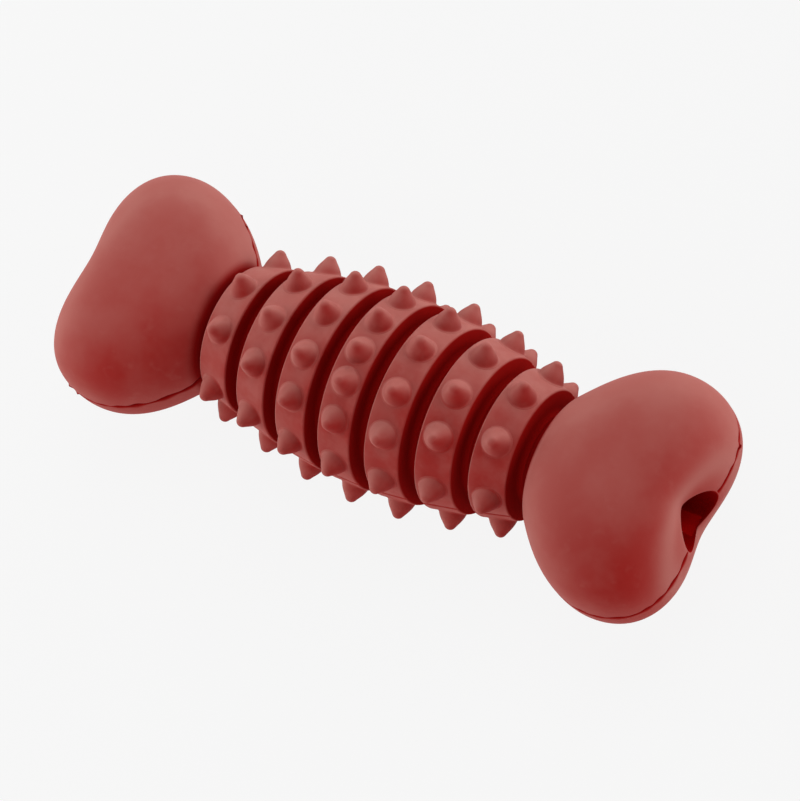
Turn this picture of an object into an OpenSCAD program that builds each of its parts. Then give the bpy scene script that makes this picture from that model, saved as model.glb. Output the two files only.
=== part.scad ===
// Rubber dog bone: a barrel of studded chewing rings between two plump knobs, with a bore from end to end.
// The real bone is one moulding, drawn here as the regions that its own form divides it into.
// X runs along the bone and Z is square to the mould's parting plane, which lies at the origin.

/* [Barrel] */
// Diameter over the rings at the middle of the barrel
barrel_mid_d = 41.1; // [38:0.1:43]
// Diameter that the curve over the rings falls to at the barrel's ends
barrel_end_d = 27.5; // [26:0.1:31]
// Width of one ring
ring_w = 7.8; // [7.3:0.1:9]
// Width of the groove between two rings
groove_w = 3.4; // [2.6:0.1:5]
// Width of the groove between the first ring and the left knob
left_groove_w = 1.7; // [1.2:0.1:4]
// Width of the groove between the last ring and the right knob
right_groove_w = 2.7; // [1.6:0.1:4]
// Depth of the grooves below the rings
groove_depth = 4.6; // [3:0.1:5.2]
// Lean of the grooves' walls
groove_draft_angle = 3; // [0:0.5:6]
// Rounding of the rings' edges
ring_edge_r = 0.4; // [0.2:0.1:0.6]

/* [Nubs] */
// Diameter of a nub at its foot
nub_d = 5.9; // [4:0.1:6.6]
// Height of a nub above its ring
nub_h = 3.9; // [2.5:0.1:5]
// Radius of a nub's round tip
nub_tip_r = 1.3; // [0.5:0.1:1.5]
// Share of the barrel's slope that the nubs lean with
nub_lean_share = 0.5; // [0:0.1:1]

/* [Knobs] */
// Length of a knob from its groove to the ends of its lobes
knob_l = 35.3; // [32:0.1:40]
// Width of a knob over its two lobes
knob_w = 52.6; // [48:0.1:58]
// Thickness of a knob
knob_t = 33.3; // [30:0.1:38]
// Distance from the lobes' ends back to a knob's widest place
lobe_setback = 14.4; // [12:0.1:17]
// Distance from the lobes' ends back to a knob's thickest place
crown_setback = 17; // [14:0.1:20]
// Distance between the foremost points of the two lobes
lobe_gap = 24.3; // [20:0.1:28]
// Width of a knob's neck beside the groove
neck_w = 31.2; // [27:0.1:34]
// Thickness of a knob's neck beside the groove
neck_t = 27.6; // [25:0.1:30]
// Length of the rounded shoulder that rises from the groove to the neck
shoulder_l = 2.2; // [0.6:0.1:3]
// Slope of a knob's flank towards its lobes
lobe_flare_angle = 49; // [42:1:55]
// Slope of a knob's flank towards its top and bottom
crown_flare_angle = 22; // [15:1:30]
// Fullness of a knob's cross-section, where 1 is an ellipse and less is squarer
knob_section_share = 0.77; // [0.7:0.01:1]

/* [Bore] */
// Diameter of the bore
bore_d = 12.8; // [10:0.1:13.4]
// Rounding of the bore's mouths
lip_r = 1.5; // [1:0.1:2]
// Depth of the dip between the lobes at the bore's mouth
cleft_depth = 0.6; // [0:0.1:2]
// Distance from the lobes' ends back to the mouth's upper and lower brow
brow_setback = 3; // [1.5:0.1:4]
// Height of the brow over the bore's wall
brow_h = 3; // [2.2:0.1:4]

/* [Hidden] */
$fn = 64;
rubber_color = [0.60, 0.24, 0.21];
knob_color = [0.64, 0.30, 0.27];
core_color = [0.38, 0.05, 0.04];

// Places of each ring's nubs above the parting plane, as shares of the half turn from the far side.
// Those below the plane mirror them.
nub_place_shares = [
    [0.11, 0.38, 0.60, 0.89],
    [0.10, 0.30, 0.48, 0.66, 0.88],
    [0.10, 0.24, 0.40, 0.56, 0.71, 0.89],
    [0.09, 0.23, 0.36, 0.48, 0.59, 0.72, 0.89],
    [0.08, 0.23, 0.39, 0.56, 0.71, 0.89],
    [0.08, 0.29, 0.48, 0.65, 0.87],
    [0.11, 0.35, 0.59, 0.87]
];
ring_count = len(nub_place_shares);
middle_ring = (ring_count + 1) / 2;
overrun = 1;
edge_steps = 4;
tip_steps = 4;

pitch = ring_w + groove_w;
barrel_half = ring_count * pitch / 2;
barrel_x = (left_groove_w - right_groove_w) / 2;
foot_half = ring_w / 2 + groove_depth * tan(groove_draft_angle);
knob_x = (ring_count - 1) * pitch / 2 + ring_w / 2 + (left_groove_w + right_groove_w) / 2;
end_x = knob_x + knob_l;
bore_r = bore_d / 2;

// Handles of the knob's curves, as shares of the stretch that each one spans
flank_start_share = 0.35;
flank_end_share = 0.42;
lobe_end_share = 0.59;
crown_end_share = 0.65;
brow_end_share = 0.62;
lip_start_share = 0.5;
mouth_share = 0.8;

// Points along each stretch of a knob, and round it
shoulder_steps = 3;
flank_steps = 10;
end_steps = 11;
lip_steps = 5;
around_steps = 64;

function ring_x(i) = barrel_x + (i - middle_ring) * pitch;

// Half the barrel's outline is a quarter wave from its middle to its end.
function barrel_r(x) =
    (barrel_end_d + (barrel_mid_d - barrel_end_d) * cos(90 * (x - barrel_x) / barrel_half)) / 2;
function core_r(x) = barrel_r(x) - groove_depth;
core_end_r = core_r(knob_x);

// The ends of a ring's land, as [x, radius]
function land_start(i) = [ring_x(i) - ring_w / 2, barrel_r(ring_x(i) - ring_w / 2)];
function land_end(i) = [ring_x(i) + ring_w / 2, barrel_r(ring_x(i) + ring_w / 2)];
function land_slope(i) = (land_end(i).y - land_start(i).y) / ring_w;
function land_r(i, x) = land_start(i).y + land_slope(i) * (x - land_start(i).x);

function flip(points) = [for (p = points) [p.y, p.x]];

// Revolves an outline of [x, radius] points about the X axis.
module revolve_x(points) {
    rotate([0, 90, 0])
        rotate_extrude()
            polygon(flip(points));
}

// Core: the floor of the grooves outside, the bore inside
function ring_seat(i) = [for (x = [ring_x(i) - foot_half, ring_x(i) + foot_half]) [x, core_r(x)]];

module core_tube() {
    seats = [for (i = [1 : ring_count]) for (p = ring_seat(i)) p];
    color(core_color)
        revolve_x(concat(
            [[-knob_x, bore_r], [-knob_x, core_end_r]],
            seats,
            [[knob_x, core_end_r], [knob_x, bore_r]]
        ));
}

// Rings: a flat-topped band with rounded edges and slightly leaning walls
function edge_arc(i, x, from_angle) = [
    for (k = [0 : edge_steps])
        let (a = from_angle - 90 * k / edge_steps)
            [x + ring_edge_r * cos(a), land_r(i, x) + ring_edge_r * (sin(a) - 1)]
];

module ring(i) {
    seat = ring_seat(i);
    color(rubber_color)
        revolve_x(concat(
            [seat[0]],
            edge_arc(i, land_start(i).x + ring_edge_r, 180),
            edge_arc(i, land_end(i).x - ring_edge_r, 90),
            [seat[1]]
        ));
}

// Nubs: a cone with a round tip, seated on its ring
module nub(sink) {
    nub_r = nub_d / 2;
    tip_z = nub_h - nub_tip_r;
    flank_angle = atan2(tip_z, nub_r) + asin(nub_tip_r / norm([tip_z, nub_r]));
    tip = [
        for (k = [0 : tip_steps])
            let (a = flank_angle * (1 - k / tip_steps))
                [nub_tip_r * sin(a), tip_z + nub_tip_r * cos(a)]
    ];
    rotate_extrude()
        polygon(concat([[0, -sink], [nub_r + sink / tan(flank_angle), -sink]], tip));
}

module nub_row(i) {
    sink = nub_d * nub_d / land_r(i, ring_x(i)) / 4;
    lean = -atan(land_slope(i)) * nub_lean_share;
    color(rubber_color)
        difference() {
            for (side = [-1, 1], share = nub_place_shares[i - 1])
                rotate([side * 180 * share - 90, 0, 0])
                    translate([ring_x(i), 0, land_r(i, ring_x(i))])
                        rotate([0, lean, 0])
                            nub(sink);
            revolve_x([
                for (e = [-1, 1]) let (x = ring_x(i) + e * pitch / 2) [x, land_r(i, x)],
                [ring_x(i) + pitch / 2, 0],
                [ring_x(i) - pitch / 2, 0]
            ]);
        }
}

// Knobs: a loft whose outline is one curve towards the lobes and another towards the top and bottom
function bezier(p, t) =
    pow(1 - t, 3) * p[0] + 3 * t * pow(1 - t, 2) * p[1] + 3 * t * t * (1 - t) * p[2] + pow(t, 3) * p[3];
function stretch(p, steps) = [for (k = [0 : steps - 1]) bezier(p, k / steps)];

function shoulder(neck, angle) =
    let (foot = [knob_x, core_end_r], way = [cos(angle), sin(angle)] * shoulder_l)
        stretch([foot, [knob_x, (foot.y + neck.y) / 2], neck - way * 2 / 3, neck], shoulder_steps);

function flank(neck, crest, angle) =
    let (run = crest.x - neck.x, way = [cos(angle), sin(angle)] * run)
        stretch(
            [neck, neck + way * flank_start_share, crest - [run * flank_end_share, 0], crest],
            flank_steps
        );

function end_turn(crest, tip, run_share, drop_share) =
    stretch(
        [crest, crest + [(tip.x - crest.x) * run_share, 0], tip + [0, (crest.y - tip.y) * drop_share], tip],
        end_steps
    );

function lip(tip, depth) =
    let (floor_point = [tip.x - depth, bore_r * mouth_share])
        concat(
            stretch(
                [
                    tip,
                    tip - [0, (tip.y - floor_point.y) * lip_start_share],
                    floor_point + [depth, 0],
                    floor_point
                ],
                lip_steps
            ),
            [floor_point]
        );

lobe_neck = [knob_x + shoulder_l, neck_w / 2];
lobe_crest = [end_x - lobe_setback, knob_w / 2];
lobe_tip = [end_x, lobe_gap / 2];
lobe_curve = concat(
    shoulder(lobe_neck, lobe_flare_angle),
    flank(lobe_neck, lobe_crest, lobe_flare_angle),
    end_turn(lobe_crest, lobe_tip, lobe_end_share, lobe_end_share),
    lip(lobe_tip, cleft_depth + lip_r)
);

crown_neck = [knob_x + shoulder_l, neck_t / 2];
crown_crest = [end_x - crown_setback, knob_t / 2];
crown_tip = [end_x - brow_setback, bore_r + brow_h];
crown_curve = concat(
    shoulder(crown_neck, crown_flare_angle),
    flank(crown_neck, crown_crest, crown_flare_angle),
    end_turn(crown_crest, crown_tip, crown_end_share, brow_end_share),
    lip(crown_tip, lip_r)
);

// The section is round at the neck and at the bore's mouth, and squarer between them.
squared_from = shoulder_steps;
squared_by = shoulder_steps + flank_steps;
round_from = squared_by + end_steps;
last_station = round_from + lip_steps;
function section_share(k) =
    let (
        rise = min(1, max(0, (k - squared_from) / (squared_by - squared_from))),
        fall = min(1, max(0, (k - squared_by) / (last_station - squared_by)))
    )
        1 - (1 - knob_section_share) * sin(90 * rise) * cos(90 * fall);

function signed_power(value, power) = sign(value) * pow(abs(value), power);
function knob_point(k, j) =
    let (
        c = cos(360 * j / around_steps),
        s = sin(360 * j / around_steps),
        power = section_share(k),
        x = lobe_curve[k].x * c * c + crown_curve[k].x * s * s
    )
        [x, lobe_curve[k].y * signed_power(c, power), crown_curve[k].y * signed_power(s, power)];

module knob_loft() {
    stations = last_station + 1;
    points = concat(
        [for (k = [0 : last_station], j = [0 : around_steps - 1]) knob_point(k, j)],
        [[knob_x, 0, 0], [knob_point(last_station, 0).x, 0, 0]]
    );
    neck_centre = stations * around_steps;
    mouth_centre = neck_centre + 1;
    function at(k, j) = k * around_steps + j % around_steps;
    sides = [
        for (k = [0 : last_station - 1], j = [0 : around_steps - 1])
            each [
                [at(k, j), at(k, j + 1), at(k + 1, j + 1)],
                [at(k, j), at(k + 1, j + 1), at(k + 1, j)]
            ]
    ];
    neck_cap = [for (j = [0 : around_steps - 1]) [neck_centre, at(0, j + 1), at(0, j)]];
    mouth_cap = [
        for (j = [0 : around_steps - 1]) [mouth_centre, at(last_station, j), at(last_station, j + 1)]
    ];
    polyhedron(points = points, faces = concat(sides, neck_cap, mouth_cap));
}

module end_knob_right() {
    color(knob_color)
        difference() {
            knob_loft();
            translate([knob_x - overrun, 0, 0])
                rotate([0, 90, 0])
                    cylinder(h = knob_l + 2 * overrun, r = bore_r);
        }
}

module end_knob_left() {
    mirror([1, 0, 0])
        end_knob_right();
}

core_tube();
end_knob_left();
end_knob_right();
ring(1);  // ring_1
ring(2);  // ring_2
ring(3);  // ring_3
ring(4);  // ring_4
ring(5);  // ring_5
ring(6);  // ring_6
ring(7);  // ring_7
nub_row(1);  // nubs_1
nub_row(2);  // nubs_2
nub_row(3);  // nubs_3
nub_row(4);  // nubs_4
nub_row(5);  // nubs_5
nub_row(6);  // nubs_6
nub_row(7);  // nubs_7
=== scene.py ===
# Rubber dog bone: seven studded chewing rings between two plump knobs, bored from end to end.
# X runs along the bone, Z is square to the mould's parting plane, and the bone's middle is the origin.
import math

import bmesh
import bpy
from mathutils import Matrix, Vector, noise


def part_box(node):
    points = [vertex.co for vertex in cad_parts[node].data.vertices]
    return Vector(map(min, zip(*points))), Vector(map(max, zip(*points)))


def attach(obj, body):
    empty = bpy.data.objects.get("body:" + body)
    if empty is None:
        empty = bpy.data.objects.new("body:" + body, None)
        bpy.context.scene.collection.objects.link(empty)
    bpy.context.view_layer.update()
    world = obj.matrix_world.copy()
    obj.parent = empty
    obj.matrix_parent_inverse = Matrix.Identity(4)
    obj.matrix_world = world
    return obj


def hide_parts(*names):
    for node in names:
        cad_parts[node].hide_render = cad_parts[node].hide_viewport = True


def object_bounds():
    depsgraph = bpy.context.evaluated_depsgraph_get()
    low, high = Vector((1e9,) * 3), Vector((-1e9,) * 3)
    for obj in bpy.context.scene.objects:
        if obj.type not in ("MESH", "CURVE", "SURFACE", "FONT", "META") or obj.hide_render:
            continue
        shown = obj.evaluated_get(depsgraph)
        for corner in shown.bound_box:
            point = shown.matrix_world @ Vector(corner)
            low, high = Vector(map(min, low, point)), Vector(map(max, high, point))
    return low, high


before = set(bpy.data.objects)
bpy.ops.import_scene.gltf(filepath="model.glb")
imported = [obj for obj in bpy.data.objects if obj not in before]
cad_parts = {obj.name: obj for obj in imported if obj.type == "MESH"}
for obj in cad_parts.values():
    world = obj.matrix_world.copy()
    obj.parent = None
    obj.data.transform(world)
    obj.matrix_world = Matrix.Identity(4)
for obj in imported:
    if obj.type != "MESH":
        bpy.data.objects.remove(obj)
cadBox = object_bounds()
mm = 0.001
print("frame loaded:", len(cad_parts), "nodes")


def linkObject(name, data):
    obj = bpy.data.objects.new(name, data)
    bpy.context.collection.objects.link(obj)
    return obj


# Camera: the photograph's own place and lens, in millimetres from the middle of the bone
photo = {
    "cameraAt": (391.8, -177.0, 807.3),
    "lookAt": (2.3, -0.43, -1.2),
    "roll": -40.37,
    "lens": 199.33,
    "clipMetres": (0.05, 20),
}


def makeCamera():
    data = bpy.data.cameras.new("photoCamera")
    data.lens = photo["lens"]
    data.clip_start, data.clip_end = photo["clipMetres"]
    camera = linkObject("photoCamera", data)
    at = Vector(photo["cameraAt"]) * mm
    aim = (Vector(photo["lookAt"]) * mm - at).to_track_quat("-Z", "Y").to_matrix().to_4x4()
    roll = Matrix.Rotation(math.radians(photo["roll"]), 4, "Z")
    camera.matrix_world = Matrix.Translation(at) @ aim @ roll
    bpy.context.scene.camera = camera


makeCamera()
print("camera set")


# Small helpers for node trees
def newTree(name, kind, inputs, outputs):
    tree = bpy.data.node_groups.new(name, kind)
    for label, socketType, value in inputs:
        socket = tree.interface.new_socket(label, in_out="INPUT", socket_type=socketType)
        if value is not None:
            socket.default_value = value
    for label, socketType in outputs:
        tree.interface.new_socket(label, in_out="OUTPUT", socket_type=socketType)
    return tree


def feed(tree, socket, value):
    if isinstance(value, bpy.types.NodeSocket):
        tree.links.new(value, socket)
    else:
        socket.default_value = value


def addNode(tree, kind, settings=None, **inputs):
    node = tree.nodes.new(kind)
    for key, value in (settings or {}).items():
        setattr(node, key, value)
    for key, value in inputs.items():
        feed(tree, node.inputs[key], value)
    return node


def calc(tree, operation, first, second=None, third=None):
    node = tree.nodes.new("ShaderNodeMath")
    node.operation = operation
    for socket, value in zip(node.inputs, (first, second, third)):
        if value is not None:
            feed(tree, socket, value)
    return node.outputs[0]


# Maps the range between two edges to 0 and top, and holds it there outside them.
def remap(tree, value, edges, top=1.0, shape="LINEAR"):
    node = addNode(tree, "ShaderNodeMapRange", {"interpolation_type": shape}, Value=value)
    node.inputs["From Min"].default_value, node.inputs["From Max"].default_value = edges
    node.inputs["To Max"].default_value = top
    return node.outputs[0]


def vectorOf(tree, x, y, z):
    return addNode(tree, "ShaderNodeCombineXYZ", X=x, Y=y, Z=z).outputs[0]


def readAttribute(tree, name, dataType="FLOAT"):
    node = addNode(tree, "GeometryNodeInputNamedAttribute", {"data_type": dataType}, Name=name)
    return node.outputs["Attribute"]


def setMaterial(tree, geometry, material):
    return addNode(tree, "GeometryNodeSetMaterial", Geometry=geometry, Material=material)


def inputsOf(tree):
    return tree.nodes.new("NodeGroupInput").outputs


def finishTree(tree, **results):
    out = tree.nodes.new("NodeGroupOutput")
    for label, value in results.items():
        feed(tree, out.inputs[label], value)
    layOut(tree)
    return tree


# Spreads a tree's nodes in columns from left to right.
def layOut(tree, columnWidth=220, rowHeight=190):
    depth = {}
    order = list(tree.nodes)
    for _ in range(len(order)):
        changed = False
        for link in tree.links:
            need = depth.get(link.from_node.name, 0) + 1
            if depth.get(link.to_node.name, 0) < need:
                depth[link.to_node.name] = need
                changed = True
        if not changed:
            break
    rows = {}
    for node in order:
        column = depth.get(node.name, 0)
        node.location = (column * columnWidth, -rows.get(column, 0) * rowHeight)
        rows[column] = rows.get(column, 0) + 1


# Marks that every surface of the moulding shares: cloudy bloom, pale specks, and grain at two sizes.
# Each noise has its detail and roughness. Bloom and specks fade in between their edges, two values of
# their noise.
rubberPattern = {
    "bloom": (3.0, 0.55),
    "bloomEdges": (0.32, 0.7),
    "specks": (2.0, 0.6),
    "speckEdges": (0.56, 0.76),
    "grain": (4.0, 0.7),
    "coarseGrain": (2.0, 0.5),
    "coarseSize": 7.0,
    "coarseShare": 1.6,
}


def makeRubberMarks():
    tree = newTree(
        "rubberMarks",
        "ShaderNodeTree",
        [
            ("Position", "NodeSocketVector", None),
            ("Bloom Size", "NodeSocketFloat", 0.011),
            ("Grain Size", "NodeSocketFloat", 0.0007),
            ("Speck Size", "NodeSocketFloat", 0.0035),
            ("Seed", "NodeSocketFloat", 0.0),
        ],
        [("Bloom", "NodeSocketFloat"), ("Speck", "NodeSocketFloat"), ("Grain", "NodeSocketFloat")],
    )
    given = inputsOf(tree)
    shifted = addNode(tree, "ShaderNodeVectorMath", {"operation": "ADD"})
    feed(tree, shifted.inputs[0], given["Position"])
    feed(tree, shifted.inputs[1], vectorOf(tree, given["Seed"], given["Seed"], given["Seed"]))

    def noiseOf(size, kind):
        detail, roughness = rubberPattern[kind]
        texture = addNode(tree, "ShaderNodeTexNoise", Detail=detail, Roughness=roughness)
        feed(tree, texture.inputs["Vector"], shifted.outputs[0])
        feed(tree, texture.inputs["Scale"], calc(tree, "DIVIDE", 1.0, size))
        return texture.outputs["Fac"]

    bloom = noiseOf(given["Bloom Size"], "bloom")
    specks = noiseOf(given["Speck Size"], "specks")
    coarseSize = calc(tree, "MULTIPLY", given["Grain Size"], rubberPattern["coarseSize"])
    coarse = calc(tree, "MULTIPLY", noiseOf(coarseSize, "coarseGrain"), rubberPattern["coarseShare"])
    return finishTree(
        tree,
        Bloom=remap(tree, bloom, rubberPattern["bloomEdges"], shape="SMOOTHSTEP"),
        Speck=remap(tree, specks, rubberPattern["speckEdges"], shape="SMOOTHSTEP"),
        Grain=calc(tree, "ADD", noiseOf(given["Grain Size"], "grain"), coarse),
    )


rubberMarks = makeRubberMarks()

# The rubber's colours, from the darkest painted shade in a crack to the pale of bloom and painted sheen.
# Edges are cosines between the surface's own direction and a side of the bone: where painted sheen or
# painted shade begins, and where it is full.
rubber = {
    "crackRed": (0.12, 0.001, 0.001, 1),
    "boreRed": (0.275, 0.001, 0.001, 1),
    "deepRed": (0.29, 0.005, 0.004, 1),
    "plainRed": (0.315, 0.014, 0.011, 1),
    "paleRed": (0.45, 0.152, 0.13, 1),
    "paintedSheenEdges": (0.99, 0.3),
    "topSide": (0, 0, 1),
    "underShadeEdges": (-0.45, 0.1),
    # Painted shade: nubs darken to deep red on the flanks that face this side, away from the light.
    "shadeSide": (0.838, -0.291, -0.467),
    "shadeEdges": (0.3, 1.0),
    "paintedSheenShare": 0.72,
    "speckShare": 0.09,
    "bloomDullness": 0.06,
    "creaseDullness": 0.35,
    "grainStrength": 0.6,
}

# Each region's own finish: the unlit side that gets no painted sheen, its shares of bloom, wear with
# painted highlight, painted shade and painted crease shade, and its gloss and grain. Sizes and heights
# are in metres.
finishes = {
    "knobRubber": {
        "unlitSide": (0.51, -0.56, 0.65),
        "shadeShare": 0,
        "bloomShare": 0.16,
        "bloomSize": 0.011,
        "wearAndHighlightShare": 0.6,
        "creaseShadeShare": 0.9,
        "roughness": 0.66,
        "polish": 0.08,
        "grainHeight": 0.00004,
        "seed": 0.13,
    },
    "ringRubber": {
        "unlitSide": (0.51, -0.56, 0.65),
        "shadeShare": 0,
        "bloomShare": 0.24,
        "bloomSize": 0.006,
        "wearAndHighlightShare": 0.5,
        "creaseShadeShare": 0.9,
        "roughness": 0.66,
        "polish": 0.08,
        "grainHeight": 0.00011,
        "seed": 0.37,
    },
    "nubRubber": {
        "unlitSide": (0.62, -0.54, 0.57),
        "shadeShare": 0.75,
        "bloomShare": 0.2,
        "bloomSize": 0.006,
        "wearAndHighlightShare": 0.2,
        "creaseShadeShare": 0.7,
        "roughness": 0.64,
        "polish": 0.08,
        "grainHeight": 0.00009,
        "seed": 0.71,
    },
    # The rubber of the hollows, where the painted crease shade is full.
    "grooveRubber": {
        "unlitSide": (0.51, -0.56, 0.65),
        "shadeShare": 0,
        "bloomShare": 0.15,
        "bloomSize": 0.011,
        "wearAndHighlightShare": 0.2,
        "creaseShadeShare": 1.0,
        "roughness": 0.8,
        "polish": 0.02,
        "grainHeight": 0.00004,
        "seed": 0.25,
    },
}


def makeRubber(name):
    finish = finishes[name]
    material = bpy.data.materials.new(name)
    material.use_nodes = True
    tree = material.node_tree
    surface = tree.nodes["Principled BSDF"]
    coordinates = addNode(tree, "ShaderNodeTexCoord").outputs
    marks = addNode(tree, "ShaderNodeGroup", {"node_tree": rubberMarks}, Position=coordinates["Object"])
    marks.inputs["Seed"].default_value = finish["seed"]
    marks.inputs["Bloom Size"].default_value = finish["bloomSize"]
    bloom, speck, grain = (marks.outputs[label] for label in ("Bloom", "Speck", "Grain"))
    wearAndHighlight = addNode(tree, "ShaderNodeAttribute", {"attribute_name": "wearAndHighlight"}).outputs["Fac"]
    creaseShade = addNode(tree, "ShaderNodeAttribute", {"attribute_name": "creaseShade"}).outputs["Fac"]

    def blend(share, fromColor, toColor):
        node = addNode(tree, "ShaderNodeMix", {"data_type": "RGBA"}, Factor=share)
        feed(tree, node.inputs[6], fromColor)  # a Mix node's colours are its sockets 6 and 7
        feed(tree, node.inputs[7], toColor)
        return node.outputs[2]

    def facing(way, edges, share):
        product = addNode(tree, "ShaderNodeVectorMath", {"operation": "DOT_PRODUCT"})
        feed(tree, product.inputs[0], coordinates["Normal"])
        feed(tree, product.inputs[1], way)
        return remap(tree, product.outputs["Value"], edges, share)

    # Painted sheen: paler on sides turned away from the unlit side, and none on the underside, which keeps
    # the deep shaded red.
    paintedSheen = facing(finish["unlitSide"], rubber["paintedSheenEdges"], rubber["paintedSheenShare"])
    paintedSheen = calc(tree, "MULTIPLY", paintedSheen, facing(rubber["topSide"], rubber["underShadeEdges"], 1.0))
    bloomAndSheenMask = calc(tree, "MINIMUM", calc(tree, "MULTIPLY_ADD", bloom, finish["bloomShare"], paintedSheen), 1.0)
    creaseShadeMask = calc(tree, "MINIMUM", calc(tree, "MULTIPLY", creaseShade, finish["creaseShadeShare"]), 1.0)
    color = blend(bloomAndSheenMask, rubber["plainRed"], rubber["paleRed"])
    # Over the bloom and painted sheen: pale specks, pale wear with painted highlight, painted shade on one
    # side of the nubs, and painted crease shade that deepens to the bore's and a crack's darker reds.
    layers = (
        (calc(tree, "MULTIPLY", speck, rubber["speckShare"]), "paleRed"),
        (calc(tree, "MULTIPLY", wearAndHighlight, finish["wearAndHighlightShare"]), "paleRed"),
        (facing(rubber["shadeSide"], rubber["shadeEdges"], finish["shadeShare"]), "deepRed"),
        (creaseShadeMask, "deepRed"),
        (calc(tree, "SUBTRACT", creaseShade, 1.0), "boreRed"),
        (calc(tree, "SUBTRACT", creaseShade, 2.0), "crackRed"),
    )
    for share, shade in layers:
        color = blend(share, color, rubber[shade])
    feed(tree, surface.inputs["Base Color"], color)
    dull = calc(tree, "MULTIPLY_ADD", bloom, rubber["bloomDullness"], finish["roughness"])
    dull = calc(tree, "MULTIPLY_ADD", creaseShade, rubber["creaseDullness"], dull)
    feed(tree, surface.inputs["Roughness"], calc(tree, "MINIMUM", dull, 1.0))
    surface.inputs["Specular IOR Level"].default_value = finish["polish"]
    bump = addNode(tree, "ShaderNodeBump", Height=grain)
    bump.inputs["Strength"].default_value = rubber["grainStrength"]
    bump.inputs["Distance"].default_value = finish["grainHeight"]
    feed(tree, surface.inputs["Normal"], bump.outputs[0])
    layOut(tree)
    return material


knobRubber = makeRubber("knobRubber")
ringRubber = makeRubber("ringRubber")
nubRubber = makeRubber("nubRubber")
grooveRubber = makeRubber("grooveRubber")
print("rubber made")


# Painted shade in hollows, as crease values: 0 is open rubber, 1 the deep red, 2 the bore's red and 3 a
# crack's red, each darker.
shades = {
    "wallTop": 1,
    "wallGain": 0.3,
    "foot": 1.3,
    "footGain": 0.02,
    "floor": 1.4,
    "buried": 1,
    "bore": 2,
    "knobRoot": 1.2,
}

# The mould's parting line: a fine crack with a little flash, at the same place on every piece. Its
# darkness is painted shade in the crack.
# Sizes are in millimetres, and sway and rag are noises that let its place and width wander.
seam = {
    "halfWidth": 0.52,
    "depth": 0.5,
    "crowding": 0.8,
    "darkness": 3.0,
    "ringHalfWidth": 0.3,
    "ringDepth": 0.3,
    "ringDarkness": 1.2,
    "sway": 0.25,
    "swayScale": 0.25,
    "ragMiddle": 0.85,
    "ragSpread": 0.9,
    "ragLeast": 0.3,
    "ragScale": 0.4,
    "nibSize": 0.55,
    "nibHeight": 0.8,
    "nibs": ((74.2, 17.3, 0), (-67.2, -24.9, 0), (-64.7, -25.8, 0), (-50.4, 23.1, 0), (-48.1, 21.4, 0)),
}

barrel = {
    "midDiameter": 41.1,
    "endDiameter": 27.5,
    "ringWidth": 7.8,
    "grooveWidth": 3.4,
    "leftGrooveWidth": 1.7,
    "rightGrooveWidth": 2.7,
    "grooveDepth": 4.6,
    "wallLean": 3.0,
    "edgeRound": 0.4,
    "footRound": 1.2,
    "ringCount": 7,
    "boreDiameter": 12.8,
    "boreSteps": (0.98, 0.5, 0, -0.5, -0.98),
    "pointsAround": 288,
    "unevenness": 0.05,
    "rippleScale": 170.0,
    "rippleDetail": 2.0,
    "mergeWithin": 0.002,
}
pitch = barrel["ringWidth"] + barrel["grooveWidth"]
barrelHalf = barrel["ringCount"] * pitch / 2
middleRing = (barrel["ringCount"] + 1) / 2
barrelX = (barrel["leftGrooveWidth"] - barrel["rightGrooveWidth"]) / 2
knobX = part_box("end_knob_right")[0].x / mm
boreRadius = barrel["boreDiameter"] / 2
wallLean = math.tan(math.radians(barrel["wallLean"]))


def ringX(index):
    return barrelX + (index - middleRing) * pitch


def barrelRadius(x):
    swell = barrel["midDiameter"] - barrel["endDiameter"]
    return (barrel["endDiameter"] + swell * math.cos(math.radians(90 * (x - barrelX) / barrelHalf))) / 2


def coreRadius(x):
    return barrelRadius(x) - barrel["grooveDepth"]


coreEndRadius = coreRadius(knobX)


def landSlope(index):
    half = barrel["ringWidth"] / 2
    return (barrelRadius(ringX(index) + half) - barrelRadius(ringX(index) - half)) / barrel["ringWidth"]


def landRadius(index):
    half = barrel["ringWidth"] / 2
    return (barrelRadius(ringX(index) + half) + barrelRadius(ringX(index) - half)) / 2


# A profile is a list of (x, radius, wear with painted highlight, painted crease shade) in millimetres. A
# place is a point in metres and its turn about the bone. The crease shade is kept twice, because the
# seam's painted shade is added to one copy of it only.
def profileMesh(name, profile, places=()):
    mesh = bpy.data.meshes.new(name)
    edges = [(i, i + 1) for i in range(len(profile) - 1)]
    points = [(x * mm, r * mm, 0) for x, r, _, _ in profile] + [point for point, _ in places]
    mesh.from_pydata(points, edges, [])
    layers = {
        "wearAndHighlight": [wearAndHighlight for _, _, wearAndHighlight, _ in profile],
        "creaseShade": [creaseShade for _, _, _, creaseShade in profile],
        "groove": [creaseShade for _, _, _, creaseShade in profile],
        "turn": [0] * len(profile) + [turn for _, turn in places],
    }
    for key, values in layers.items():
        layer = mesh.attributes.new(key, "FLOAT", "POINT")
        for point, value in zip(layer.data, values):
            point.value = value
    layer = mesh.attributes.new("isPlace", "BOOLEAN", "POINT")
    for point in list(layer.data)[len(profile):]:
        point.value = True
    return linkObject(name, mesh)


turnInputs = [
    ("Around", "NodeSocketInt", barrel["pointsAround"]),
    ("Crowding", "NodeSocketFloat", seam["crowding"]),
    ("Seam Half Width", "NodeSocketFloat", seam["ringHalfWidth"] * mm),
    ("Seam Depth", "NodeSocketFloat", seam["ringDepth"] * mm),
    ("Seam Darkness", "NodeSocketFloat", seam["ringDarkness"]),
    ("Unevenness", "NodeSocketFloat", barrel["unevenness"] * mm),
]
bandValues = {label: value for label, _, value in turnInputs}
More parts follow.
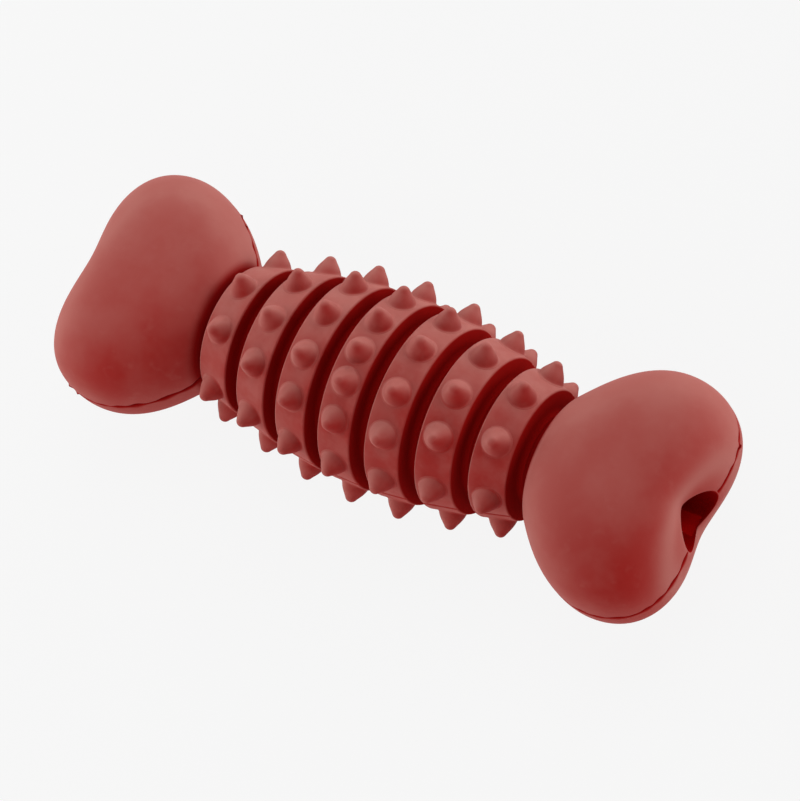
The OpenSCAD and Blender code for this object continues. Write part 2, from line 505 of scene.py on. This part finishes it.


# Turns a profile about the X axis in steps that crowd towards the parting plane, sinks the seam into
# its outer land with painted crack shade along it and gives it slight waves.
def makeTurnTree():
    tree = newTree(
        "turnProfile",
        "GeometryNodeTree",
        [("Profile", "NodeSocketGeometry", None), ("Closed", "NodeSocketInt", 1)] + turnInputs,
        [("Mesh", "NodeSocketGeometry")],
    )
    given = inputsOf(tree)
    sized = addNode(tree, "GeometryNodeAttributeDomainSize", Geometry=given["Profile"])
    count = sized.outputs["Point Count"]
    columns = calc(tree, "ADD", given["Around"], 1)
    grid = addNode(tree, "GeometryNodeMeshGrid")
    feed(tree, grid.inputs["Vertices X"], calc(tree, "ADD", count, given["Closed"]))
    feed(tree, grid.inputs["Vertices Y"], columns)
    index = addNode(tree, "GeometryNodeInputIndex").outputs[0]
    row = calc(tree, "FLOOR", calc(tree, "DIVIDE", calc(tree, "ADD", index, 0.5), columns))
    column = calc(tree, "SUBTRACT", index, calc(tree, "MULTIPLY", row, columns))
    pointIndex = calc(tree, "MODULO", row, count)

    def fromProfile(value, dataType="FLOAT"):
        sample = addNode(tree, "GeometryNodeSampleIndex", {"data_type": dataType, "domain": "POINT"})
        feed(tree, sample.inputs["Geometry"], given["Profile"])
        feed(tree, sample.inputs["Value"], value)
        feed(tree, sample.inputs["Index"], pointIndex)
        return sample.outputs[0]

    position = fromProfile(addNode(tree, "GeometryNodeInputPosition").outputs[0], "FLOAT_VECTOR")
    split = addNode(tree, "ShaderNodeSeparateXYZ", Vector=position).outputs
    turn = calc(tree, "MULTIPLY", calc(tree, "DIVIDE", column, given["Around"]), math.tau)
    bunch = calc(tree, "SINE", calc(tree, "MULTIPLY", turn, 2.0))
    bunch = calc(tree, "MULTIPLY", bunch, given["Crowding"])
    angle = calc(tree, "SUBTRACT", turn, calc(tree, "MULTIPLY", bunch, 0.5))
    across = calc(tree, "COSINE", angle)
    up = calc(tree, "SINE", angle)

    height = calc(tree, "MULTIPLY", split["Y"], up)
    reach = calc(tree, "DIVIDE", height, given["Seam Half Width"])
    nearSeam = calc(tree, "EXPONENT", calc(tree, "MULTIPLY", calc(tree, "MULTIPLY", reach, reach), -1.0))
    onLand = calc(tree, "SUBTRACT", 1.0, fromProfile(readAttribute(tree, "groove")))
    nearSeam = calc(tree, "MULTIPLY", nearSeam, calc(tree, "MAXIMUM", onLand, 0.0))
    place = vectorOf(tree, split["X"], calc(tree, "MULTIPLY", split["Y"], across), height)
    ripple = addNode(tree, "ShaderNodeTexNoise", Vector=place)
    ripple.inputs["Scale"].default_value = barrel["rippleScale"]
    ripple.inputs["Detail"].default_value = barrel["rippleDetail"]
    sunk = calc(tree, "MULTIPLY", nearSeam, given["Seam Depth"])
    sunk = calc(tree, "MULTIPLY_ADD", ripple.outputs["Fac"], given["Unevenness"], sunk)
    radius = calc(tree, "MAXIMUM", calc(tree, "SUBTRACT", split["Y"], sunk), 0.0)
    y, z = calc(tree, "MULTIPLY", radius, across), calc(tree, "MULTIPLY", radius, up)
    seated = addNode(tree, "GeometryNodeSetPosition", Geometry=grid.outputs["Mesh"])
    feed(tree, seated.inputs["Position"], vectorOf(tree, split["X"], y, z))
    turned = seated.outputs[0]

    stored = {key: fromProfile(readAttribute(tree, key)) for key in ("wearAndHighlight", "groove", "creaseShade")}
    # Painted crack shade along the seam, added to the profile's crease shade.
    shown = calc(tree, "GREATER_THAN", given["Seam Depth"], 0.0)
    dark = calc(tree, "MULTIPLY", calc(tree, "MULTIPLY", nearSeam, shown), given["Seam Darkness"])
    stored["creaseShade"] = calc(tree, "MAXIMUM", stored["creaseShade"], dark)
    for key, value in stored.items():
        settings = {"data_type": "FLOAT", "domain": "POINT"}
        store = addNode(tree, "GeometryNodeStoreNamedAttribute", settings, Geometry=turned, Name=key)
        feed(tree, store.inputs["Value"], value)
        turned = store.outputs[0]

    within = barrel["mergeWithin"] * mm
    merged = addNode(tree, "GeometryNodeMergeByDistance", Geometry=turned, Distance=within)
    rounded = addNode(tree, "GeometryNodeSetShadeSmooth", Geometry=merged.outputs[0])
    return finishTree(tree, Mesh=rounded.outputs[0])


turnProfile = makeTurnTree()


# The core or a ring: a closed profile turned round, with a material of its own where it is deep
def makeBandTree():
    materials = [("Material", "NodeSocketMaterial", None), ("Crease Material", "NodeSocketMaterial", None)]
    tree = newTree(
        "turnedBand",
        "GeometryNodeTree",
        [("Geometry", "NodeSocketGeometry", None)] + turnInputs + materials,
        [("Geometry", "NodeSocketGeometry")],
    )
    given = inputsOf(tree)
    turned = addNode(tree, "GeometryNodeGroup", {"node_tree": turnProfile}, Closed=1)
    feed(tree, turned.inputs["Profile"], given["Geometry"])
    for label, _, _ in turnInputs:
        feed(tree, turned.inputs[label], given[label])
    real = addNode(tree, "GeometryNodeRealizeInstances", Geometry=turned.outputs[0]).outputs[0]
    plain = setMaterial(tree, real, given["Material"]).outputs[0]
    deep = setMaterial(tree, plain, given["Crease Material"])
    feed(tree, deep.inputs["Selection"], calc(tree, "GREATER_THAN", readAttribute(tree, "groove"), 0.5))
    return finishTree(tree, Geometry=deep.outputs[0])


turnedBand = makeBandTree()


def faceOutwards(mesh):
    shape = bmesh.new()
    shape.from_mesh(mesh)
    bmesh.ops.recalc_face_normals(shape, faces=shape.faces)
    shape.to_mesh(mesh)
    shape.free()


# Runs a geometry tree on obj and leaves the result as obj's plain mesh.
def grow(obj, tree, values):
    modifier = obj.modifiers.new(tree.name, "NODES")
    modifier.node_group = tree
    for item in tree.interface.items_tree:
        if item.item_type == "SOCKET" and item.in_out == "INPUT" and item.name in values:
            modifier[item.identifier] = values[item.name]
    graph = bpy.context.evaluated_depsgraph_get()
    made = bpy.data.meshes.new_from_object(obj.evaluated_get(graph), depsgraph=graph)
    obj.modifiers.remove(modifier)
    obj.data = made
    made.name = obj.name
    faceOutwards(made)


def settle(piece, node):
    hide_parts(node)
    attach(piece, "root")


# Core: the groove floors outside, the bore inside
def makeCore():
    footHalf = barrel["ringWidth"] / 2 + barrel["grooveDepth"] * wallLean
    outside = [(-knobX, boreRadius), (-knobX, coreEndRadius)]
    for index in range(1, barrel["ringCount"] + 1):
        for x in (ringX(index) - footHalf, ringX(index) + footHalf):
            outside.append((x, coreRadius(x)))
    outside += [(knobX, coreEndRadius), (knobX, boreRadius)]
    # The groove floors carry painted shade, and the bore a darker painted shade.
    profile = [(x, r, 0, shades["floor"]) for x, r in outside]
    profile += [(x * knobX, boreRadius, 0, shades["bore"]) for x in barrel["boreSteps"]]
    core = profileMesh("barrelCore", profile)
    materials = {"Material": grooveRubber, "Crease Material": grooveRubber}
    grow(core, turnedBand, {**bandValues, "Seam Depth": 0.0, "Unevenness": 0.0, **materials})
    settle(core, "core_tube")


# Rings: a band with a nearly flat land, rounded edges, leaning walls and a filleted foot.
# An edge has its wear with painted highlight, stronger on the left edges, and how fast its painted shade
# deepens towards the wall.
ring = {
    "landShares": (-0.6, -0.3, 0, 0.3, 0.6),
    "leftEdge": (1, 2),
    "rightEdge": (0.25, 1.3),
    "edgeSteps": 6,
    "wallShares": (0.3, 0.6, 1.0),
    "footSteps": 5,
}


# One side of a ring, from its land down to its foot on the core
def ringSide(index, way):
    half = barrel["ringWidth"] / 2
    edge, foot = barrel["edgeRound"], barrel["footRound"]
    slope = landSlope(index)
    wallTop = landRadius(index) + way * half * slope
    floor = coreRadius(ringX(index) + way * (half + barrel["grooveDepth"] * wallLean))
    centreX = way * (half - edge)
    centreR = wallTop - way * edge * slope - edge
    rubbedAndLit, fade = ring["leftEdge"] if way < 0 else ring["rightEdge"]
    side = []
    for k in range(ring["edgeSteps"] + 1):
        share = k / ring["edgeSteps"]
        a = math.pi / 2 * share
        x, r = centreX + way * edge * math.sin(a), centreR + edge * math.cos(a)
        side.append((x, r, rubbedAndLit * math.sin(2 * a), share ** fade))
    # The wall and the foot deepen in painted shade towards the groove floor.
    wallFoot = floor + foot
    for share in ring["wallShares"]:
        r = centreR + (wallFoot - centreR) * share
        x = way * (half + (wallTop - r) * wallLean)
        side.append((x, r, 0, shades["wallTop"] + share * shades["wallGain"]))
    base = way * (half + (wallTop - wallFoot) * wallLean)
    for k in range(1, ring["footSteps"] + 1):
        a = math.pi / 2 * k / ring["footSteps"]
        x, r = base + way * foot * (1 - math.cos(a)), wallFoot - foot * math.sin(a)
        side.append((x, r, 0, shades["foot"] + shades["footGain"] * k))
    side.append((base + way * foot, floor - foot, 0, shades["floor"]))
    return side


def ringProfile(index):
    reach = barrel["ringWidth"] / 2 - barrel["edgeRound"]
    land = []
    for share in ring["landShares"]:
        x = share * reach
        land.append((x, landRadius(index) + x * landSlope(index), 0, 0))
    profile = ringSide(index, -1)[::-1] + land + ringSide(index, 1)
    return [(x + ringX(index), r, wearAndHighlight, creaseShade) for x, r, wearAndHighlight, creaseShade in profile]


def makeRings():
    for index in range(1, barrel["ringCount"] + 1):
        band = profileMesh("ring%d" % index, ringProfile(index))
        grow(band, turnedBand, {**bandValues, "Material": ringRubber, "Crease Material": grooveRubber})
        settle(band, "ring_%d" % index)


makeCore()
makeRings()
print("core and rings made")


# Nubs: a cone with a round tip and a foot that runs out on to its ring
nub = {
    "diameter": 6.0,
    "height": 3.9,
    "tipRadius": 1.3,
    "footRound": 0.5,
    "bulge": 0.15,
    "bulgePower": 1.4,
    "sink": 0.35,
    "leanShare": 0.5,
    "sizeSpread": 0.03,
    "tipSteps": 8,
    "flankSteps": 8,
    "footSteps": 6,
    "tipWearAndHighlightLoss": 0.6,
    "flankWearAndHighlight": 0.3,
    "pointsAround": 48,
}

# Places of each ring's nubs above the parting plane, as shares of the half turn from the far side
nubPlaceShares = (
    (0.11, 0.38, 0.60, 0.89),
    (0.10, 0.30, 0.48, 0.66, 0.88),
    (0.10, 0.24, 0.40, 0.56, 0.71, 0.89),
    (0.09, 0.23, 0.36, 0.48, 0.59, 0.72, 0.89),
    (0.08, 0.23, 0.39, 0.56, 0.71, 0.89),
    (0.08, 0.29, 0.48, 0.65, 0.87),
    (0.11, 0.35, 0.59, 0.87),
)


# One nub turned from its profile, bent to sit on its ring, and set at each of the row's places
def makeNubTree():
    tree = newTree(
        "nubRow",
        "GeometryNodeTree",
        [
            ("Geometry", "NodeSocketGeometry", None),
            ("Around", "NodeSocketInt", nub["pointsAround"]),
            ("Ring Radius", "NodeSocketFloat", 0.02),
            ("Land Slope", "NodeSocketFloat", 0.0),
            ("Lean", "NodeSocketFloat", 0.0),
            ("Nub Height", "NodeSocketFloat", nub["height"] * mm),
            ("Size Spread", "NodeSocketFloat", nub["sizeSpread"]),
            ("Seed", "NodeSocketInt", 1),
            ("Material", "NodeSocketMaterial", None),
        ],
        [("Geometry", "NodeSocketGeometry")],
    )
    given = inputsOf(tree)
    parts = addNode(tree, "GeometryNodeSeparateGeometry", Geometry=given["Geometry"])
    feed(tree, parts.inputs["Selection"], readAttribute(tree, "isPlace", "BOOLEAN"))
    turned = addNode(tree, "GeometryNodeGroup", {"node_tree": turnProfile}, Closed=0)
    feed(tree, turned.inputs["Profile"], parts.outputs["Inverted"])
    feed(tree, turned.inputs["Around"], given["Around"])
    for label in ("Crowding", "Seam Depth", "Unevenness"):
        turned.inputs[label].default_value = 0.0
    upright = addNode(tree, "GeometryNodeTransform", Geometry=turned.outputs[0])
    upright.inputs["Rotation"].default_value = (0, -math.pi / 2, 0)
    leaned = addNode(tree, "GeometryNodeTransform", Geometry=upright.outputs[0])
    feed(tree, leaned.inputs["Rotation"], vectorOf(tree, 0.0, given["Lean"], 0.0))

    # The foot follows the ring's round, the tip keeps its own shape.
    position = addNode(tree, "GeometryNodeInputPosition").outputs[0]
    split = addNode(tree, "ShaderNodeSeparateXYZ", Vector=position).outputs
    radiusSquare = calc(tree, "POWER", given["Ring Radius"], 2.0)
    squares = calc(tree, "SUBTRACT", radiusSquare, calc(tree, "POWER", split["Y"], 2.0))
    sag = calc(tree, "SUBTRACT", given["Ring Radius"], calc(tree, "SQRT", squares))
    slope = calc(tree, "ADD", given["Land Slope"], calc(tree, "TANGENT", given["Lean"]))
    tilt = calc(tree, "MULTIPLY", split["X"], slope)
    rise = calc(tree, "DIVIDE", split["Z"], given["Nub Height"])
    foot = calc(tree, "SUBTRACT", 1.0, calc(tree, "MINIMUM", calc(tree, "MAXIMUM", rise, 0.0), 1.0))
    drop = calc(tree, "MULTIPLY", calc(tree, "SUBTRACT", tilt, sag), foot)
    bent = addNode(tree, "GeometryNodeSetPosition", Geometry=leaned.outputs[0])
    feed(tree, bent.inputs["Offset"], vectorOf(tree, 0.0, 0.0, drop))

    turn = calc(tree, "SUBTRACT", readAttribute(tree, "turn"), math.pi / 2)
    spread = addNode(tree, "FunctionNodeRandomValue", {"data_type": "FLOAT"}, Seed=given["Seed"])
    feed(tree, spread.inputs[2], calc(tree, "SUBTRACT", 1.0, given["Size Spread"]))
    feed(tree, spread.inputs[3], 1.0)
    rows = addNode(
        tree,
        "GeometryNodeInstanceOnPoints",
        Points=parts.outputs["Selection"],
        Instance=bent.outputs[0],
        Rotation=vectorOf(tree, turn, 0.0, 0.0),
        Scale=vectorOf(tree, 1.0, 1.0, spread.outputs[1]),
    )
    real = addNode(tree, "GeometryNodeRealizeInstances", Geometry=rows.outputs[0]).outputs[0]
    return finishTree(tree, Geometry=setMaterial(tree, real, given["Material"]).outputs[0])


nubRow = makeNubTree()


def nubProfile():
    radius = nub["diameter"] / 2
    tip = nub["tipRadius"]
    tipZ = nub["height"] - tip
    flank = math.atan2(tipZ, radius) + math.asin(tip / math.hypot(tipZ, radius))
    points = []
    # The tip is pale with wear and painted highlight, fading down the flank.
    for k in range(nub["tipSteps"] + 1):
        share = k / nub["tipSteps"]
        a = flank * share
        points.append((tipZ + tip * math.cos(a), tip * math.sin(a), 1 - nub["tipWearAndHighlightLoss"] * share, 0))
    topZ, topR = points[-1][:2]
    foot = nub["footRound"]
    back = foot * math.tan(flank / 2)
    runZ = back * math.sin(flank)
    runR = radius - back * math.cos(flank)
    for k in range(1, nub["flankSteps"] + 1):
        share = k / nub["flankSteps"]
        out = nub["bulge"] * math.sin(math.pi * share ** nub["bulgePower"])
        z = topZ + (runZ - topZ) * share + out * math.cos(flank)
        r = topR + (runR - topR) * share + out * math.sin(flank)
        points.append((z, r, nub["flankWearAndHighlight"] * (1 - share), 0))
    for k in range(1, nub["footSteps"] + 1):
        a = flank * (1 - k / nub["footSteps"])
        points.append((foot * (1 - math.cos(a)), radius + back - foot * math.sin(a), 0, 0))
    rim = points[-1][1]
    return points + [(-nub["sink"], rim, 0, shades["buried"]), (-nub["sink"], 0, 0, shades["buried"])]


def nubPlaces(index):
    places = []
    for side in (1, -1):
        for share in nubPlaceShares[index - 1]:
            turn = side * math.pi * share
            y, z = landRadius(index) * math.cos(turn), landRadius(index) * math.sin(turn)
            places.append(((ringX(index) * mm, y * mm, z * mm), turn))
    return places


def makeNubs():
    for index in range(1, barrel["ringCount"] + 1):
        row = profileMesh("nubRow%d" % index, nubProfile(), nubPlaces(index))
        values = {
            "Around": nub["pointsAround"],
            "Ring Radius": landRadius(index) * mm,
            "Land Slope": landSlope(index),
            "Lean": -math.atan(landSlope(index)) * nub["leanShare"],
            "Nub Height": nub["height"] * mm,
            "Size Spread": nub["sizeSpread"],
            "Seed": index,
            "Material": nubRubber,
        }
        grow(row, nubRow, values)
        settle(row, "nubs_%d" % index)


makeNubs()
print("nubs made")


# Knobs: one outline towards the lobes, another towards the top and bottom, with the bore inside
knob = {
    "length": 35.3,
    "width": 52.6,
    "thickness": 33.3,
    "lobeSetback": 14.4,
    "crownSetback": 17.0,
    "lobeGap": 24.3,
    "neckWidth": 31.2,
    "neckThickness": 27.6,
    "shoulderLength": 2.2,
    "lobeFlareAngle": 49,
    "crownFlareAngle": 22,
    "flankShares": (0.35, 0.42),
    "lobeEndShares": (0.59, 0.59),
    "crownEndShares": (0.68, 0.58),
    "sectionPower": 0.77,
    "lipRadius": 1.1,
    "lipShare": 0.5,
    "cleftDepth": 0.6,
    "browSetback": 3.2,
    "browHeight": 2.2,
    "notchStart": 0.4,
    "notchRound": 0.004,
    "mouthShare": 0.8,
    "mouthRound": 0.3,
    "wallShares": (0.9, 0.7, 0.35, 0),
    "shoulderSteps": 8,
    "flankSteps": 40,
    "endSteps": 48,
    "lipSteps": 20,
    "rimSteps": 7,
    "inwardShares": (0.6, 0.68),
    "rootEdges": (0.5, 1.7),
    "outsideGap": 0.3,
    "pointsAround": 320,
}


def bezier(p, t):
    s = 1 - t
    start, end = Vector(p[0]) * s ** 3, Vector(p[3]) * t ** 3
    return start + Vector(p[1]) * 3 * t * s * s + Vector(p[2]) * 3 * t * t * s + end


def stretch(p, steps):
    return [bezier(p, k / steps) for k in range(steps)]


def smooth(value, low, high):
    t = min(1, max(0, (value - low) / (high - low)))
    return t * t * (3 - 2 * t)


def knobOutline(neck, crest, tip, angle, endShares, lipDepth):
    slope = Vector((math.cos(math.radians(angle)), math.sin(math.radians(angle))))
    foot = Vector((knobX, coreEndRadius))
    neck, crest, tip = Vector(neck), Vector(crest), Vector(tip)
    mouth = Vector((tip.x - lipDepth, boreRadius * knob["mouthShare"]))
    run = crest.x - neck.x
    leave, arrive = knob["flankShares"]
    shoulder = [foot, (knobX, (foot.y + neck.y) / 2), neck - slope * knob["shoulderLength"] * 2 / 3, neck]
    flank = [neck, neck + slope * run * leave, crest - Vector((run * arrive, 0)), crest]
    end = [
        crest,
        crest + Vector(((tip.x - crest.x) * endShares[0], 0)),
        tip + Vector((0, (crest.y - tip.y) * endShares[1])),
        tip,
    ]
    fall = Vector((0, (tip.y - mouth.y) * knob["lipShare"]))
    lip = [tip, tip - fall, mouth + Vector((lipDepth, 0)), mouth]
    points = stretch(shoulder, knob["shoulderSteps"]) + stretch(flank, knob["flankSteps"])
    return points + stretch(end, knob["endSteps"]) + stretch(lip, knob["lipSteps"]) + [mouth]


endX = knobX + knob["length"]
lobeOutline = knobOutline(
    (knobX + knob["shoulderLength"], knob["neckWidth"] / 2),
    (endX - knob["lobeSetback"], knob["width"] / 2),
    (endX, knob["lobeGap"] / 2),
    knob["lobeFlareAngle"],
    knob["lobeEndShares"],
    knob["cleftDepth"] + knob["lipRadius"],
)
crownOutline = knobOutline(
    (knobX + knob["shoulderLength"], knob["neckThickness"] / 2),
    (endX - knob["crownSetback"], knob["thickness"] / 2),
    (endX - knob["browSetback"], boreRadius + knob["browHeight"]),
    knob["crownFlareAngle"],
    knob["crownEndShares"],
    knob["lipRadius"],
)

crestStep = knob["shoulderSteps"] + knob["flankSteps"]
tipStep = crestStep + knob["endSteps"]
mouthStep = tipStep + knob["lipSteps"]
rimStep = tipStep - knob["rimSteps"] // 2


def sectionPower(k):
    rise = min(1, max(0, (k - knob["shoulderSteps"]) / knob["flankSteps"]))
    fall = min(1, max(0, (k - crestStep) / (mouthStep - crestStep)))
    return 1 - (1 - knob["sectionPower"]) * math.sin(math.pi / 2 * rise) * math.cos(math.pi / 2 * fall)


# The valley between the lobes sharpens to a notch at the mouth.
def notched(share):
    low, high = math.sqrt(knob["notchRound"]), math.sqrt(1 + knob["notchRound"])
    return 1 - (math.sqrt(max(0, 1 - share) + knob["notchRound"]) - low) / (high - low)


def notchShare(k):
    return smooth((k - crestStep) / knob["endSteps"], knob["notchStart"], 1)


# A point of the loft, k steps along the two outlines and at an angle round them
def knobPoint(k, angle):
    power = 2 / sectionPower(k)
    c, s = math.cos(angle), math.sin(angle)
    reach = (abs(c) ** power + abs(s) ** power) ** (-1 / power)
    towardsCrown = (reach * abs(s)) ** power
    towardsCrown += (notched(towardsCrown) - towardsCrown) * notchShare(k)
    towardsLobe = 1 - towardsCrown
    lobe, crown = lobeOutline[k], crownOutline[k]
    x = lobe.x * towardsLobe + crown.x * (1 - towardsLobe)
    y, z = lobe.y * reach * c, crown.y * reach * s
    r = math.hypot(y, z)
    over = r - boreRadius
    kept = boreRadius + (over + math.hypot(over, knob["mouthRound"])) / 2
    if k > crestStep + knob["endSteps"] // 2:
        y, z = y * kept / r, z * kept / r
    return Vector((x, y, z))


def makeKnob(name, node, way):
    around = knob["pointsAround"]
    angles = []
    for j in range(around):
        turn = math.tau * j / around
        angles.append(turn - seam["crowding"] / 2 * math.sin(2 * turn))
    rows = [[knobPoint(k, a) for a in angles] for k in range(len(lobeOutline))]
    for share in knob["wallShares"]:
        x = knobX + (endX - knobX) * share
        rows.append([Vector((x, boreRadius * math.cos(a), boreRadius * math.sin(a))) for a in angles])

    mesh = bpy.data.meshes.new(name)
    vertices = [(p.x * way * mm, p.y * mm, p.z * mm) for row in rows for p in row]
    faces = []
    for k in range(len(rows)):
        here, after = k * around, (k + 1) % len(rows) * around
        for j in range(around):
            beside = (j + 1) % around
            faces.append((here + j, here + beside, after + beside, after + j))
    mesh.from_pydata(vertices, [], faces)
    mesh.update()
    faceOutwards(mesh)
    mesh.polygons.foreach_set("use_smooth", [True] * len(mesh.polygons))
    mesh.update()
    cutSeam(mesh, around)
    mesh.materials.append(knobRubber)
    mesh.materials.append(grooveRubber)
    innerStep = tipStep + knob["lipSteps"] * knob["inwardShares"][0]
    for face in mesh.polygons:
        row = face.vertices[0] // around
        face.material_index = 1 if innerStep <= row < len(rows) - 1 else 0
    settle(linkObject(name, mesh), node)


# 1 at a place, falling away over a reach
def bell(distance, reach):
    return math.exp(-((distance / reach) ** 2))


def seamNoise(place, scale):
    return noise.noise(Vector((place.x, place.y, 0)) * scale)


# Sinks the parting line into a knob's outside, darkens it with painted crack shade and leaves a few nibs
# of flash. Painted shade also goes into the bore and the knob's root, and pale wear with painted highlight
# round the rim.
def cutSeam(mesh, around):
    normals = [v.normal.copy() for v in mesh.vertices]
    wearAndHighlight = mesh.attributes.new("wearAndHighlight", "FLOAT", "POINT")
    creaseShade = mesh.attributes.new("creaseShade", "FLOAT", "POINT")
    for vertex, normal in zip(mesh.vertices, normals):
        place = vertex.co / mm
        row = vertex.index // around
        inward = smooth((row - tipStep) / knob["lipSteps"], *knob["inwardShares"])
        rooted = 1 - smooth(abs(place.x) - knobX, *knob["rootEdges"])
        outside = 1 if math.hypot(place.y, place.z) > boreRadius + knob["outsideGap"] else 0
        sway = seam["sway"] * seamNoise(place, seam["swayScale"])
        ragged = seam["ragMiddle"] + seam["ragSpread"] * seamNoise(place, seam["ragScale"])
        ragged = max(seam["ragLeast"], ragged)
        near = outside * bell(place.z - sway, seam["halfWidth"] * ragged)
        nib = sum(bell((place - Vector(at)).length, seam["nibSize"]) for at in seam["nibs"])
        vertex.co += normal * (nib * seam["nibHeight"] - near * seam["depth"] * ragged) * mm
        # Painted shade: crack shade on the seam, the bore's shade inside the lip, and shade at the root by
        # the rings.
        darkest = max(near * seam["darkness"], inward * shades["bore"], rooted * shades["knobRoot"])
        creaseShade.data[vertex.index].value = darkest
        # Pale wear with painted highlight round the end's rim.
        wearAndHighlight.data[vertex.index].value = bell(row - rimStep, knob["rimSteps"])


makeKnob("knobRight", "end_knob_right", 1)
makeKnob("knobLeft", "end_knob_left", -1)
print("knobs made")


# Studio: a pale floor, broad soft lamps low and high all round, and an even dim surround
studio = {
    "floorSize": 6.0,
    "floorColor": (0.86, 0.86, 0.86, 1),
    "floorRoughness": 0.9,
    "floorPolish": 0.1,
    "backdrop": 0.939,
    "shadowShare": 0.06,
    "bounceShare": 0.5,
    "surround": 0.16,
    "lampSizeShare": 0.75,
}

# Each lamp's compass angle and height angle round the bone, its watts and its distance in metres
lamps = {
    "backLeft": (150, 22, 3.1, 1.2),
    "back": (90, 15, 4.3, 1.2),
    "backRight": (34, 14, 6.3, 1.2),
    "overhead": (90, 70, 4.0, 1.2),
    "left": (205, 27, 1.25, 0.55),
    "right": (350, 5, 0.35, 0.5),
    "front": (264, 8, 5.0, 1.2),
    "frontRight": (300, 22, 0.14, 0.5),
}


# Rays that see the plain pale background: the camera's, mirrored ones and ones through glass
def seenRays(tree):
    paths = addNode(tree, "ShaderNodeLightPath").outputs
    bright = calc(tree, "MAXIMUM", paths["Is Glossy Ray"], paths["Is Transmission Ray"])
    return calc(tree, "MAXIMUM", paths["Is Camera Ray"], bright)


def makeFloor():
    half, z = studio["floorSize"] / 2, cadBox[0].z
    mesh = bpy.data.meshes.new("floor")
    corners = [(-half, -half, z), (half, -half, z), (half, half, z), (-half, half, z)]
    mesh.from_pydata(corners, [], [(0, 1, 2, 3)])
    floor = linkObject("floor", mesh)

    paper = bpy.data.materials.new("floorPaper")
    paper.use_nodes = True
    tree = paper.node_tree
    surface = tree.nodes["Principled BSDF"]
    surface.inputs["Base Color"].default_value = studio["floorColor"]
    surface.inputs["Roughness"].default_value = studio["floorRoughness"]
    surface.inputs["Specular IOR Level"].default_value = studio["floorPolish"]
    plain = addNode(tree, "ShaderNodeEmission", Strength=1.0)
    plain.inputs["Color"].default_value = (studio["backdrop"],) * 3 + (1,)
    bounce = studio["bounceShare"]
    mix = addNode(tree, "ShaderNodeMixShader")
    sources = (
        calc(tree, "MULTIPLY_ADD", seenRays(tree), 1 - studio["shadowShare"] - bounce, bounce),
        surface.outputs[0],
        plain.outputs[0],
    )
    for socket, source in zip(mix.inputs, sources):
        feed(tree, socket, source)
    feed(tree, tree.nodes["Material Output"].inputs["Surface"], mix.outputs[0])
    layOut(tree)
    mesh.materials.append(paper)


def makeSurround():
    world = bpy.data.worlds.new("surround")
    bpy.context.scene.world = world
    world.use_nodes = True
    tree = world.node_tree
    background = tree.nodes["Background"]
    background.inputs["Color"].default_value = (1, 1, 1, 1)
    dim = studio["surround"]
    strength = calc(tree, "MULTIPLY_ADD", seenRays(tree), studio["backdrop"] - dim, dim)
    feed(tree, background.inputs["Strength"], strength)
    layOut(tree)


def makeLamps():
    for name, (compass, rise, power, distance) in lamps.items():
        lamp = bpy.data.lights.new(name, "AREA")
        lamp.shape = "DISK"
        lamp.size = distance * studio["lampSizeShare"]
        lamp.energy = power
        lampObject = linkObject(name, lamp)
        around, up = math.radians(compass), math.radians(rise)
        way = Vector((math.cos(around) * math.cos(up), math.sin(around) * math.cos(up), math.sin(up)))
        lampObject.location = way * distance
        lampObject.rotation_euler = way.to_track_quat("Z", "Y").to_euler()


makeFloor()
makeSurround()
makeLamps()
bpy.context.scene.view_settings.view_transform = "Standard"
print("studio made")
